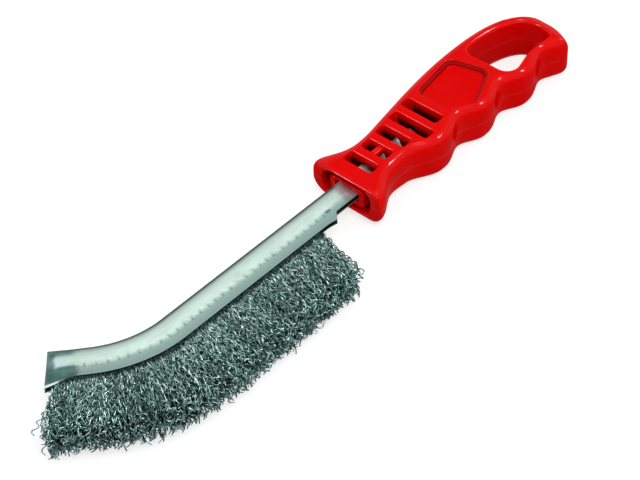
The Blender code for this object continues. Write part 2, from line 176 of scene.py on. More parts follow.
# Channel and its tang
channel_back = 0.0064
channel_height = 0.01265
channel_width = 0.0046
sheet = 0.0006
fold_steps = 10
wall_steps = 12
wall_spacing_power = 1.5
lip_height = 0.0039
crease_half = 0.0013
lip_half = 0.00115
lip_edge = 0.00015
tang_height = 0.0102
tang_inside = 0.0412
tang_outside = 0.0107
relief_slant_share = 0.9
relief_radius = 0.0007
relief_steps = 6
straight_run = 0.0914
bend_radius = 0.0459
bend_angle = math.radians(40.0)
nose_run = 0.0148
heel_zone = 0.0080
heel_grow_lip = 0.0010
nose_zone = 0.0100
nose_grow_back = 0.0003
nose_grow_lip = 0.0020
nose_lip_drop = 0.0024
nose_lip_reach = 0.0010
nose_back_short = 0.0006
channel_spacing = 0.0005
tooth_pitch = 0.0038
tooth_width_share = 0.16
tooth_depth = 0.00012
tooth_height = 0.0018
tooth_slant = 0.6
tooth_sharpness = 4
tooth_weakest_share = 0.45
tooth_foot_share = 0.15
tooth_kinds = 23
crimp_zone = 0.0105
crimp_depth = 0.00022
crimp_step = 0.0008
dimple_at = 0.0127
dimple_level = -0.0016
dimple_radius = 0.0013
dimple_depth = 0.00010

# Core wire and crimped wires
core_diameter = 0.0012
core_lead = 0.0015
core_sides = 20
core_spacing = 0.0020
fill_from = 0.0222
fill_short = 0.0018
fill_slices = 10
slice_wires = 290
wire_radius = 0.00029
wire_sides = 3
wire_kinks = 13
kink_levels = 2
kink_spread_share = 0.9
kink_start_share = 0.2
wire_kink = 0.00074
wire_wobble = 0.00055
wire_bows = 4
wire_inside = 0.0030
wire_length = 0.0281
wire_nose_length = 0.0270
wire_bulge = 0.0016
bulge_at = 0.76
bulge_half = 0.26
wire_ragged = 0.0009
wire_stray = 0.0013
stray_share = 0.05
stray_lean_scale = 1.6
wire_splay = 0.0066
wire_scatter = 0.0011
root_half = 0.0004
# How much darker the lower wires are painted, as shade, and how much of a wire's painted tone is its
# own
under_tone = 0.55
own_tone_share = 0.35
heel_lean = math.radians(21.0)
nose_lean = math.radians(7.0)
lean_scatter = math.radians(3.0)

# Noises of the finishes: scale, or one for each axis, and detail
flow_noise = ((24.5, 70.0, 70.0), 3.0)
skin_noise = (900.0, 2.0)
sink_noise = (90.0, 1.0)
smear_noise = (45.0, 4.0)
streak_noise = ((60.0, 1500.0, 1.0), 4.0)
cloud_noise = ((110.0, 260.0, 1.0), 3.0)
spangle_noise = (260.0, 3.0)
grain_noise = (1700.0, 2.0)
spot_noise = (700.0, 2.0)
patchy_noise = (420.0, 2.0)
mark_noise = ((150.0, 5200.0, 1.0), 3.0)

# Ranges of noise over which a tone comes up
middle_range = (0.3, 0.7)
smear_range = (0.4, 0.75)
coat_range = (0.35, 0.65)
paler_range = (0.3, 0.6)
upper_range = (0.5, 0.75)
spot_range = (0.64, 0.74)
broken_range = (0.28, 0.50)

# Zones of the plastic, where each starts and ends: the seam, the glossy edges, and painted shade
# deep in the slots, in the recess of the mouth and on the walls of the panels
shade_soft = 0.0004
seam_half = (0.00008, 0.00022)
edge_depths = (0.0003, 0.0018)
slot_shade_y = (-0.0062, 0.0088)
slot_shade_soft = 0.0012
slot_shade_depths = (0.0014, 0.0046)
recess_shade_x = (0.0014, 0.0052)
recess_shade_y = (-0.0108, 0.0134)
recess_shade_half = (0.0062, 0.0066)
recess_fade = (0.0002, 0.0040)
recess_end = (0.0004, 0.0010)
panel_shade_depths = (0.0008, panel_depth - 0.0009)
panel_shade_soft = 0.0006
panel_shade_sides = ((-1, 0.14, -0.0128), (1, 0.55, -0.0056), (1, -0.45, -0.0158))

# Zones of the channel's colour, most of them painted shade, reflection or light: _run is along it,
# _left before its end, _rise above its crease, _below under its back and _foot above its lips' feet
heel_run = (0.0130, 0.0200)
rosy_run = (-0.0010, 0.0036)
inside_run = (-0.0060, -0.0030)
tick_run = (tang_outside, tang_outside + 0.0060)
tick_widths = (0.04, 0.20)
tick_wander = 0.9
tick_rise = (-0.0008, 0.0)
tick_top_rise = (0.0008, 0.0030)
level_wander = 0.0020
nose_left = (crimp_zone - 0.0018, crimp_zone + 0.0012)
nose_wander = 0.0050
nose_rise = (-0.0002, 0.0012)
rim_left = (0.0018, 0.0034)
rim_wander = 0.0030
burr_left = (0.0035, 0.0065)
burr_foot = (0.0004, 0.0008)
cut_foot = (0.00002, 0.00012)
# The lips' band of painted shade: where it starts, how much streaks vary it, and its darkening towards
# the feet
band_rise = (-0.0009, 0.0013)
band_share = 0.75
band_streaks = 0.4
lip_rise = (-0.0034, -0.0004)
paler_rise = (0.0004, 0.0020)
paler_top_rise = (0.0028, 0.0052)
hidden_rise = (0.0, 0.0005)
hidden_half = (lip_half - 0.0003, lip_half - 0.0001)
shoulder_below = (0.0026, 0.0048)

# Painted tones of the wires, which stand for glints and shade, and where along them the painted shade
# of the roots ends
steel_tones = (0.25, 0.60)
glint_tones = (0.60, 0.85)
root_end = (0.13, 0.22)
root_tone_gain = 0.16

# Studio. A lamp has a place, a size, its watts, and whether it lights more than gloss.
white = (1.0, 1.0, 1.0, 1.0)
world_level = 0.72
floor_size = 6.0
floor_cells = 8
floor_grey = (0.42, 0.42, 0.42, 1.0)
floor_shine = 0.68
lamps = (
    ("key", (-0.20, -0.46, 1.02), 0.60, 4.4, True),
    ("glint", (0.18, -0.15, 1.06), 0.09, 3.2, False),
    ("rim glint", (-0.76, 0.54, 0.58), 0.14, 4.0, False),
    ("edge glint", (0.65, -0.39, 0.86), 0.14, 7.0, False),
)

# Every random draw follows from this seed
seed = 7

# Camera, fitted to the photograph's straight edges
camera_azimuth = math.radians(-46.8)
camera_elevation = math.radians(43.7)
camera_roll = math.radians(2.0)
camera_lens = 120.0
sensor_width = 36.0
image_width = 640
image_height = 480
pixels_per_metre = 2709.0
sighted_at = -0.0008
sighted_column = 346.3
sighted_row = 195.0

handle_low, handle_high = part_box("handle")
mouth = Vector((handle_low.x, handle_high.y - back_height, handle_high.z / 2))
handle_length = handle_high.x - handle_low.x
half_thickness = (handle_high.z - handle_low.z) / 2
back_at = handle_length - back_to_butt
last_bump = handle_length - bump_to_butt
bump_pitch = (last_bump - bump_at) / grooves
hole_from = handle_length - hole_to_butt
slots_end = slot_at + slot_pitch * (len(slot_backs) - 1) + slot_width
panel_near = slots_end + panel_from_slot
panel_far = hole_from - panel_from_hole
half_height = channel_height / 2
half_width = channel_width / 2
channel_axis = channel_back - half_height
core_level = half_height - half_width
crease_level = lip_height - half_height
bend_end = straight_run + bend_radius * bend_angle
path_length = bend_end + nose_run
# How far below the round back its painted dark reflection reaches, broadly and as a line at its ridge
fold_below = (half_width * 0.15, half_width * 2.05)
ridge_below = (half_width * 0.65, half_width * 1.05)
pale_patch = ((path_length - 0.0046, -0.0004), (0.0030, 0.0020), (0.0, 1.4))
dimple_shade = ((dimple_at + 0.0002, dimple_level - 0.0001), (0.0018, 0.0008), (0.2, 1.0))
chance = random.Random(seed)
tooth_strengths = [chance.random() for i in range(tooth_kinds)]


def add_grid(name, x_cells, y_cells, size):
    """A plain grid, with nothing else selected."""
    bpy.ops.object.select_all(action="DESELECT")
    bpy.ops.mesh.primitive_grid_add(x_subdivisions=x_cells, y_subdivisions=y_cells, size=size)
    grid = bpy.context.object
    grid.name = name
    return grid


def lay_grid(name, rings, runs=None, levels=None):
    """A grid laid over rings of points and closed to a solid. Its UV map holds the run of each
    ring, or its number, and the way round it, or the level that is given."""
    count = len(rings[0])
    piece = add_grid(name, len(rings) - 1, count, 2)
    flat = np.empty((len(piece.data.vertices), 3))
    piece.data.vertices.foreach_get("co", flat.ravel())
    along = np.rint((flat[:, 0] + 1) / 2 * (len(rings) - 1)).astype(int)
    around = np.rint((flat[:, 1] + 1) / 2 * count).astype(int)
    points = np.array([[tuple(point) for point in ring] for ring in rings])
    laps = np.linalg.norm(np.diff(np.concatenate([points, points[:, :1]], axis=1), axis=1), axis=2)
    ways = np.concatenate([np.zeros((len(rings), 1)), np.cumsum(laps, axis=1)], axis=1)
    if levels:
        ways = np.array([list(ring) + [ring[0]] for ring in levels])
    piece.data.vertices.foreach_set("co", (points[along, around % count] + np.array(mouth)).ravel())
    corners = np.empty(len(piece.data.loops), int)
    piece.data.loops.foreach_get("vertex_index", corners)
    runs = np.array(runs or range(len(rings)))
    places = np.stack([runs[along[corners]], ways[along[corners], around[corners]]], axis=1)
    piece.data.uv_layers.active.data.foreach_set("uv", places.ravel())
    bpy.ops.object.mode_set(mode="EDIT")
    bpy.ops.mesh.select_all(action="SELECT")
    bpy.ops.mesh.remove_doubles(threshold=weld)
    bpy.ops.mesh.fill_holes(sides=0)
    bpy.ops.mesh.select_all(action="SELECT")
    bpy.ops.mesh.normals_make_consistent(inside=False)
    bpy.ops.object.mode_set(mode="OBJECT")
    return piece


def pick(piece):
    """Select a piece alone and make it the active one."""
    bpy.ops.object.select_all(action="DESELECT")
    piece.select_set(True)
    bpy.context.view_layer.objects.active = piece


def bring_in(name, data):
    """A new object of the scene for a mesh, a lamp or a camera."""
    holder = bpy.data.objects.new(name, data)
    bpy.context.scene.collection.objects.link(holder)
    return holder


def combine(piece, other, operation):
    """Cut another solid out of a piece, or add it to the piece, and take the other away."""
    pick(piece)
    tool = piece.modifiers.new(other.name, "BOOLEAN")
    tool.operation = operation
    tool.solver = "EXACT"
    tool.object = other
    bpy.ops.object.modifier_apply(modifier=tool.name)
    bpy.data.objects.remove(other, do_unlink=True)


def smooth_over(piece, angle):
    """Shade smooth up to an angle, with the flat faces keeping their own normals."""
    pick(piece)
    bpy.ops.object.shade_smooth_by_angle(angle=angle)
    weights = piece.modifiers.new("weights", "WEIGHTED_NORMAL")
    weights.keep_sharp = True
    bpy.ops.object.modifier_apply(modifier=weights.name)


def hand_over(piece, material, node):
    """Give a finished piece its material and its place on the frame."""
    piece.data.materials.clear()
    piece.data.materials.append(material)
    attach(piece, "root")
    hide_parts(node)


def ease(share):
    """A half wave from one down to zero."""
    return (1 + math.cos(math.pi * min(max(share, 0), 1))) / 2


def round_off(share, power):
    """The height of a superellipse, one at its middle and zero at its end."""
    return (1 - min(max(share, 0), 1) ** power) ** (1 / power)


def quarter(steps):
    """Even angles over a quarter turn."""
    return [math.pi / 2 * i / steps for i in range(steps + 1)]


def spread(start, end, spacing):
    """Even stations from start to end, at most a spacing apart."""
    count = math.ceil((end - start) / spacing)
    return [start + (end - start) * i / count for i in range(count + 1)]


def back_edge(x):
    """The palm side of the handle's outline."""
    if x < back_neck_at:
        return back_neck + (mouth_back - back_neck) * ease(x / back_neck_at) ** back_flare_power
    if x < back_at:
        share = (x - back_neck_at) / (back_at - back_neck_at)
        return back_neck + (back_height - back_neck) * math.sin(math.pi / 2 * share) ** back_rise_power
    share = (x - back_at) / (handle_length + butt_flat - back_at)
    return butt_height + (back_height - butt_height) * round_off(share, back_butt_power)


def finger_edge(x):
    """The finger side of the outline: flare, neck, then grooves between even bumps."""
    if x < finger_neck_at:
        flare = ease(x / finger_neck_at) ** finger_flare_power
        return -finger_neck - (mouth_finger - finger_neck) * flare
    if x < bump_at:
        share = (x - finger_neck_at) / (bump_at - finger_neck_at)
        return -bump_height + (bump_height - finger_neck) * ease(share)
    if x < last_bump:
        share = ((x - bump_at) / bump_pitch % 1) ** groove_lean_power
        groove = (1 - math.cos(2 * math.pi * share)) / 2
        return -bump_height + groove_depth * groove ** groove_power
    share = (x - last_bump) / (handle_length + butt_flat - last_bump)
    return butt_height - (bump_height + butt_height) * round_off(share, finger_butt_power)


def side_level(x):
    """Half the thickness of the handle, which thins towards its mouth."""
    return half_thickness - (half_thickness - mouth_thickness / 2) * ease(x / thinning_run)


def rim_share(x, run):
    """How much of the mouth's rounding is left at a distance from the mouth."""
    return 1 - math.sqrt(1 - (1 - min(x / run, 1)) ** 2)


def handle_stations():
    """Where the handle's rings stand, closer together at the mouth and round the butt."""
    stations = [mouth_rim_back_run * (1 - math.cos(turn)) for turn in quarter(fine_steps)[:-1]]
    stations += spread(mouth_rim_back_run, handle_length - butt_zone, ring_spacing)[:-1]
    return stations + [handle_length - butt_zone * (1 - math.sin(turn)) for turn in quarter(butt_rings)]


def distances_to(outline, spots):
    """How far each spot lies from an open outline."""
    starts = outline[:-1]
    steps = outline[1:] - starts
    arms = spots[:, None] - starts
    shares = np.clip((arms * steps).sum(2) / (steps ** 2).sum(1), 0, 1)
    return np.linalg.norm(arms - steps * shares[:, :, None], axis=2).min(1)


def outline_over(stations):
    """The outline, out along the side of the fingers and back along the side of the palm."""
    return [(x, finger_edge(x)) for x in stations] + [(x, back_edge(x)) for x in stations[::-1]]


def handle_ring(x, outline):
    """One rounded section of the handle."""
    low = finger_edge(x) + mouth_rim_finger * rim_share(x, mouth_rim_run)
    high = back_edge(x) - mouth_rim_back * rim_share(x, mouth_rim_back_run)
    top = side_level(x) - mouth_rim_side * rim_share(x, mouth_rim_run)
    flare = ease(x / finger_neck_at)
    blunt = 1 - ease((x - handle_length + butt_reach) / butt_reach)
    drop = grip_fillet + (mouth_fillet_side - grip_fillet) * flare + butt_drop_grow * blunt
    upper = []
    for edge, way, fillet in ((low, 1, mouth_fillet_finger), (high, -1, mouth_fillet_back)):
        width = grip_fillet + (fillet - grip_fillet) * flare
        span = min(width, (high - low) / 2)
        depths = span * (1 - np.cos(np.linspace(0, math.pi / 2, fillet_steps + 1)))
        levels = edge + way * depths
        reaches = depths
        if x > handle_length - butt_zone:
            spots = np.stack([np.full_like(levels, x), levels], axis=1)
            reaches = np.minimum(distances_to(outline, spots), width)
        heights = top - drop + drop * np.sqrt(1 - (1 - reaches / width) ** 2)
        upper += list(zip(levels, heights))[::way]
    return [(x, y, z) for y, z in upper] + [(x, y, -z) for y, z in upper[::-1]]


def round_corners(corners, radius, steps):
    """An outline with an arc of the radius at each of its corners."""
    points = []
    count = len(corners)
    for i in range(count):
        corner = Vector(corners[i])
        before = (Vector(corners[i - 1]) - corner).normalized()
        after = (Vector(corners[(i + 1) % count]) - corner).normalized()
        half = before.angle(after) / 2
        centre = corner + (before + after).normalized() * (radius / math.sin(half))
        start = corner + before * (radius / math.tan(half)) - centre
        end = corner + after * (radius / math.tan(half)) - centre
        for step in range(steps + 1):
            points.append(centre + start.slerp(end, step / steps).normalized() * radius)
    return points


def grow(outline, amount):
    """Each point of a closed outline moved outwards, square to its neighbours."""
    count = len(outline)
    moved = []
    for i in range(count):
        along = (outline[(i + 1) % count] - outline[i - 1]).normalized()
        moved.append(outline[i] + Vector((along.y, -along.x)) * amount)
    return moved


def arc(radius, steps):
    """A quarter round of an edge, as pairs of the way outwards and the drop below the face."""
    return [(radius * (1 - math.cos(turn)), radius * (1 - math.sin(turn))) for turn in quarter(steps)]


def face_ring(outline, amount, side, level):
    """An outline moved outwards, at a level above one face of the handle."""
    return [(p.x, p.y, side * (side_level(p.x) + level)) for p in grow(outline, amount)]


def through_cutter(name, outline, rim, steps):
    """A cutter right through the handle that rounds its edge on both faces."""
    profile = [(amount, lift - drop) for amount, drop in arc(rim, steps)] + [(rim, overrun)]
    rings = [face_ring(outline, amount, -1, level) for amount, level in profile[::-1]]
    rings += [face_ring(outline, amount, 1, level) for amount, level in profile]
    return lay_grid(name, rings)


def rounded_box(near, far, low, high, radius, steps):
    corners = ((near, low), (far, low), (far, high), (near, high))
    return round_corners(corners, radius, steps)


def slot_outline(index):
    start = slot_at + index * slot_pitch
    ends = (start, start + slot_width, -slot_fingers[index], slot_backs[index])
    return rounded_box(*ends, slot_corner, middle_steps)


def panel_cutter(side):
    """The recessed panel: rounded rim, walls with draft and a rounded foot."""
    corners = (
        (panel_near, -panel_finger_near),
        (panel_near + (panel_far - panel_near) * panel_low_share, -panel_finger_low),
        (panel_far, -panel_finger_far),
        (panel_far - panel_corner, panel_back_far),
        (panel_near, panel_back_near),
    )
    wide = round_corners(corners, panel_corner, fine_steps)
    foot = arc(panel_floor_fillet, coarse_steps)[::-1]
    profile = [(-panel_draft - inwards, rise - panel_depth) for inwards, rise in foot]
    profile += [(amount, lift - drop) for amount, drop in arc(panel_rim, middle_steps)]
    profile.append((panel_rim, overrun))
    rings = [face_ring(wide, amount, side, level) for amount, level in profile]
    return lay_grid("panel", rings)


def hole_outline():
    """The hang hole: the outline of the butt, one limb width further in."""
    length = handle_length - hole_from
    turns = quarter(math.ceil(length / hole_spacing))
    stations = [hole_from + length * math.sin(turn) for turn in turns]
    outer = [Vector(point) for point in outline_over(stations)]
    spots = []
    for i in range(1, len(outer) - 1):
        along = (outer[i + 1] - outer[i - 1]).normalized()
        spots.append(outer[i] + Vector((-along.y, along.x)) * limb_width)
    reaches = distances_to(np.array(outer), np.array(spots))
    inner = [spot for spot, reach in zip(spots, reaches)
             if reach > limb_width * hole_keep_share and spot.x > hole_from + hole_corner]
    for i in range(hole_softening):
        triples = zip(inner, inner[1:], inner[2:])
        middle = [(before + spot * 2 + after) / 4 for before, spot, after in triples]
        inner = [inner[0]] + middle + [inner[-1]]
    low = inner[0].y
    high = inner[-1].y
    beyond = hole_from + hole_corner + hole_corner
    corners = ((hole_from, high), (hole_from, low), (beyond, low), (beyond, high))
    box = round_corners(corners, hole_corner, fine_steps)
    return box[:len(box) // 2] + inner


def upright_cutter(name, section, profile):
    """A cutter along the handle: its section moved outwards by an amount at each x."""
    rings = [[(x, p.x, p.y) for p in grow(section, amount)] for amount, x in profile]
    return lay_grid(name, rings)


def mouth_cutter():
    """The recess of the mouth, with the sleeve round the tang left standing in it."""
    sides = (-recess_finger, recess_back, -recess_half, recess_half)
    face = rounded_box(*sides, recess_fillet, fine_steps)
    profile = [(-recess_draft, recess_depth)]
    profile += [(amount, drop - lift) for amount, drop in arc(recess_rim, middle_steps)]
    profile.append((recess_rim, -overrun))
    cutter = upright_cutter("mouth recess", face, profile)
    sides = (-sleeve_finger, sleeve_back, -sleeve_half, sleeve_half)
    block = rounded_box(*sides, sleeve_corner, middle_steps)
    edge = arc(sleeve_edge, sleeve_edge_steps)[::-1]
    ends = [(-drop, sleeve_step + inwards) for inwards, drop in edge]
    ends.append((recess_draft / 2, recess_depth + overrun))
    combine(cutter, upright_cutter("sleeve", block, ends), "DIFFERENCE")
    return cutter


def mirrored(side):
    """A closed section from the points of its upper side, as pairs of level and half width."""
    return [Vector((y, z)) for y, z in side[::-1]] + [Vector((y, -z)) for y, z in side]


def opening_cutter():
    """The sleeve's opening round the tang, with a rounded edge."""
    rim = arc(opening_rim, coarse_steps)
    profile = [(amount, sleeve_step + drop - lift) for amount, drop in rim]
    profile = [(0, sleeve_depth)] + profile + [(opening_rim, -overrun)]
    return upright_cutter("sleeve opening", mirrored(opening), profile)


def hollow_cutter():
    """The arched hollow over the tang, behind the sleeve, as far below the faces all along."""
    section = mirrored(arch)
    crown = max(half for level, half in arch)
    rings = []
    for x in spread(sleeve_depth - lift, tang_inside + tang_gap, hollow_spacing):
        growth = (side_level(x) - hollow_cover) / crown
        rings.append([(x, p.x, p.y * growth if abs(p.y) > arch_foot else p.y) for p in section])
    return lay_grid("tang hollow", rings)


def rib():
    """The rib that crosses one of the slots, a little below both faces."""
    start = slot_at + ribbed_slot * slot_pitch
    level = side_level(start + slot_width / 2) - rib_drop
    sides = (rib_at - rib_width / 2, rib_at + rib_width / 2, -level, level)
    section = rounded_box(*sides, rib_corner, coarse_steps)
    ends = (start - rib_corner, start + slot_width + rib_corner)
    return lay_grid("rib", [[(x, p.x, p.y) for p in section] for x in ends])


def make_handle():
    """The moulding with all its cuts. The hollow is cut last, because a cut after it can break."""
    stations = handle_stations()
    outline = np.array(outline_over([x for x in stations if x > handle_length - butt_reach]))
    handle = lay_grid("handle_moulding", [handle_ring(x, outline) for x in stations], stations)
    combine(handle, mouth_cutter(), "DIFFERENCE")
    for side in (1, -1):
        combine(handle, panel_cutter(side), "DIFFERENCE")
    hole = through_cutter("hang hole", hole_outline(), hole_rim, hole_rim_steps)
    combine(handle, hole, "DIFFERENCE")
    for index in range(len(slot_backs)):
        slot = through_cutter("slot", slot_outline(index), slot_rim, coarse_steps)
        combine(handle, slot, "DIFFERENCE")
        if index == ribbed_slot:
            combine(handle, rib(), "UNION")
    combine(handle, opening_cutter(), "DIFFERENCE")
    combine(handle, hollow_cutter(), "DIFFERENCE")
    smooth_over(handle, sharp_angle)
    return handle


def path_turn(s):
    """How far the channel has turned at a distance from the mouth."""
    return min(max((s - straight_run) / bend_radius, 0), bend_angle)


def place(s, v, w):
    """A point at a distance along the channel, v towards its back and w up."""
    turn = path_turn(s)
    x = -min(s, straight_run) - bend_radius * math.sin(turn)
    y = channel_axis + bend_radius * (1 - math.cos(turn))
    beyond = max(s - bend_end, 0)
    x += v * math.sin(turn) - beyond * math.cos(turn)
    y += v * math.cos(turn) + beyond * math.sin(turn)
    return Vector((x, y, w))


def nose_share(s):
    """Zero along the channel, rising to one at the end of its squeezed nose."""
    return 1 - ease((s - path_length + nose_zone) / nose_zone)


def lip_level(s):
    """The foot of the lips, which flares a little at both of their ends."""
    heel_share = ease((s - tang_outside) / heel_zone)
    return -half_height - nose_grow_lip * nose_share(s) - heel_grow_lip * heel_share


def tooth_mark(s, level):
    """The dents that the crimping tool leaves, slanting up from the crease."""
    if s < tang_outside or level < 0 or level > tooth_height:
        return 0
    beat = (s - level * tooth_slant) / tooth_pitch
    wave = math.exp(-((beat % 1 - 0.5) / tooth_width_share) ** 2 * tooth_sharpness)
    own = tooth_strengths[int(beat) % tooth_kinds]
    strength = tooth_weakest_share + (1 - tooth_weakest_share) * own
    height = tooth_foot_share + (1 - tooth_foot_share) * level / tooth_height
    return tooth_depth * wave * strength * math.sin(math.pi * height)


def dimple(s, level):
    """The punched dent beside the heel of the lips."""
    reach = math.hypot(s - dimple_at, level - dimple_level) / dimple_radius
    return dimple_depth * ease(reach)


def crimp(s):
    """How far the lips are pressed in at the nose, but for their flared end."""
    press = 1 - ease((s - path_length + crimp_zone) / crimp_step)
    return crimp_depth * press * ease((s - path_length + nose_zone / 2) / (nose_zone / 2))


def nose_end(s):
    """Zero until shortly before the end of the channel, rising ever faster to one there."""
    return max((s - path_length + nose_zone) / nose_zone, 0) ** 2


def end_slant(s, level):
    """How far the cut end reaches beyond the square one: more at the lips, less at the back."""
    share = (half_height - level) / channel_height
    return (nose_lip_reach * share - nose_back_short * (1 - share)) * nose_end(s)


def channel_side(s, depth):
    """Half of the folded strip's section, a depth inside its outer face: the lip, the dented wall
    that leans outwards from the crease, and the round back."""
    foot = lip_level(s) - nose_lip_drop * nose_end(s)
    centre = half_height + nose_grow_back * nose_share(s) - half_width
    radius = half_width - depth
    points = []
    for i in range(coarse_steps):
        share = i / coarse_steps
        half = lip_half + (crease_half - lip_half) * share - depth - crimp(s)
        points.append((foot + (crease_level - foot) * share, half))
    for i in range(wall_steps):
        level = (centre - crease_level) * (i / wall_steps) ** wall_spacing_power
        half = crease_half + (half_width - crease_half) * level / (centre - crease_level)
        dent = tooth_mark(s, level) + dimple(s, crease_level + level)
        points.append((crease_level + level, half - depth - dent))
    for turn in quarter(fold_steps):
        points.append((centre + radius * math.sin(turn), max(radius * math.cos(turn), 0)))
    return points


def channel_section(s):
    """The closed section of the sheet, with its two lips rounded off."""
    outer = channel_side(s, 0)
    inner = channel_side(s, sheet)
    outer[0] = (outer[0][0] + lip_edge, outer[0][1])
    inner[0] = (inner[0][0] + lip_edge, inner[0][1])
    middle = (outer[0][1] + inner[0][1]) / 2
    foot = outer[0][0] - lip_edge
    lip = [(foot, middle - lip_edge), (foot, middle + lip_edge)]
    loop = inner[-2::-1] + lip + outer[:-1]
    return [inner[-1]] + loop + [outer[-1]] + [(v, -w) for v, w in loop[::-1]]


def relief_cutter():
    """What is cut away under the tang, slanting back to the foot of the lips."""
    floor = channel_back - tang_height
    low = floor - channel_height
    beyond = tang_inside + overrun
    slanted = -tang_outside - relief_slant_share * channel_height
    corners = ((beyond, low), (beyond, floor), (-tang_outside, floor), (slanted, low))
    outline = round_corners(corners, relief_radius, relief_steps)
    rings = [[(p.x, p.y, z) for p in outline] for z in (-channel_width, channel_width)]
    return lay_grid("tang relief", rings)


def make_channel():
    """The folded strip. In its UV map the lips keep their height where they reach lower."""
    stations = spread(-tang_inside, path_length, channel_spacing)
    rings = []
    levels = []
    for s in stations:
        section = channel_section(s)
        rings.append([place(s + end_slant(s, v), v, w) for v, w in section])
        stretch = lip_height / (crease_level - lip_level(s) + nose_lip_drop * nose_end(s))
        heights = [(v - crease_level) * (stretch if v < crease_level else 1) for v, w in section]
        levels.append([crease_level + height for height in heights])
    channel = lay_grid("folded_channel", rings, stations, levels)
    combine(channel, relief_cutter(), "DIFFERENCE")
    smooth_over(channel, sharp_angle)
    return channel


def ring_of(radius, sides):
    """The round section of a wire."""
    turns = [2 * math.pi * i / sides for i in range(sides)]
    return [(radius * math.cos(turn), radius * math.sin(turn)) for turn in turns]


def make_core_wire():
    stations = spread(fill_from - core_lead, path_length - fill_short + core_lead / 2, core_spacing)
    section = ring_of(core_diameter / 2, core_sides)
    rings = [[place(s, core_level + v, w) for v, w in section] for s in stations]
    core = lay_grid("core_rod", rings, stations)
    smooth_over(core, rod_sharp_angle)
    return core


def model_wire():
    """One crimped wire of unit length, modelled once: it runs along Z, and its flat-topped kinks
    swing along X."""
    rings = []
    section = ring_of(wire_radius, wire_sides)
    count = wire_kinks * kink_levels
    for level in range(count + 1):
        kink = level // kink_levels
        swing = wire_kink * (-1) ** kink * min(level / count / kink_start_share, 1)
        place_in_kink = (level % kink_levels + 0.5) / kink_levels * kink_spread_share
        way = (kink + place_in_kink) / wire_kinks
        rings.append([(swing + x, y, way) for x, y in section])
    return rings


def lay_wire(base, s, w):
    """The modelled wire from its root between the lips, down to them and out to its tip."""
    share = (s - fill_from) / (path_length - fill_from)
    length = wire_length + (wire_nose_length - wire_length) * share + chance.gauss(0, wire_ragged)
    length += wire_bulge * ease(abs(share - bulge_at) / bulge_half)
    stray = chance.random() < stray_share
    if stray:
        length += wire_stray * chance.uniform(-1, 1)
    side = wire_splay * w / root_half + chance.gauss(0, wire_scatter)
    side = min(max(side, -wire_splay), wire_splay)
    lean = heel_lean + (nose_lean - heel_lean) * share
    lean += chance.gauss(0, lean_scatter) * (stray_lean_scale if stray else 1)
    turn = path_turn(s)
    down = Vector((-math.sin(turn), -math.cos(turn), 0))
    ahead = Vector((-math.cos(turn), math.sin(turn), 0))
    way = down * math.cos(lean) + ahead * math.sin(lean)
    outside = way * math.sqrt(length ** 2 - (side - w) ** 2) + Vector((0, 0, side - w))
    forward = outside.normalized()
    across = forward.cross(Vector((0, 0, 1))).normalized()
    over = forward.cross(across)
    swing = chance.uniform(0, 2 * math.pi)
    first = across * math.cos(swing) + over * math.sin(swing)
    second = forward.cross(first)
    bows = [chance.gauss(0, wire_wobble) for i in range(wire_bows)]
    root = place(s, lip_level(s) + wire_inside, w)
    run = base[:, :, 2:] * (wire_inside + length)
    near = np.minimum(run, wire_inside)
    far = np.maximum(run - wire_inside, 0)
    bow = np.sin(math.pi * far / length)
    twice = np.sin(2 * math.pi * far / length)
    wire = np.array(root) + near * np.array(down) + far * np.array(forward)
    wire += (base[:, :, :1] + bows[0] * bow + bows[1] * twice) * np.array(first)
    return wire + (base[:, :, 1:2] + bows[2] * bow + bows[3] * twice) * np.array(second)


def make_wires(index):
    """One slice of the fill: the modelled wire copied, turned, leaned, bowed and fanned out."""
    run = (path_length - fill_short - fill_from) / fill_slices
    start = fill_from + index * run
    base = np.array(model_wire())
    wires = []
    tones = []
    for i in range(slice_wires):
        s = start + run * (i + chance.random()) / slice_wires
        w = root_half * chance.uniform(-1, 1)
        wires.append(lay_wire(base, s, w))
        # Painted tones for glints and shade: one for each wire, lower for lower wires, one for each
        # kink level
        own = chance.random() + under_tone * min(w / root_half, 0)
        draws = [chance.random() for level in range(len(base))]
        tones.append([own_tone_share * own + (1 - own_tone_share) * draw for draw in draws])
    return join_wires(f"wires_{index + 1:02d}", np.array(wires), np.array(tones))


def join_wires(name, wires, tones):
    """All the wires of a slice as one mesh, with the tone, which paints highlight and shade, and the
    share of the way out at each level of their kinks."""
    count, levels, sides = wires.shape[:3]
    verts = (wires.reshape(-1, 3) + np.array(mouth)).tolist()
    faces = []
    for start in range(0, len(verts), levels * sides):
        top = start + (levels - 1) * sides
        for low in range(start, top, sides):
            for i in range(sides):
                j = (i + 1) % sides
                faces.append((low + i, low + j, low + sides + j, low + sides + i))
        faces.append(list(range(start, start + sides))[::-1])
        faces.append(list(range(top, top + sides)))
    mesh = bpy.data.meshes.new(name)
    mesh.from_pydata(verts, [], faces)
    mesh.update()
    tone = mesh.attributes.new("tone", "FLOAT", "POINT")
    tone.data.foreach_set("value", np.repeat(tones.ravel(), sides))
    out = mesh.attributes.new("out", "FLOAT", "POINT")
    shares = np.repeat(np.arange(levels) / (levels - 1), sides)
    out.data.foreach_set("value", np.tile(shares, count))
    piece = bring_in(name, mesh)
    pick(piece)
    bpy.ops.object.mode_set(mode="EDIT")
    bpy.ops.mesh.select_all(action="SELECT")
    bpy.ops.mesh.normals_make_consistent(inside=False)
    bpy.ops.object.mode_set(mode="OBJECT")
    bpy.ops.object.shade_smooth()
    return piece


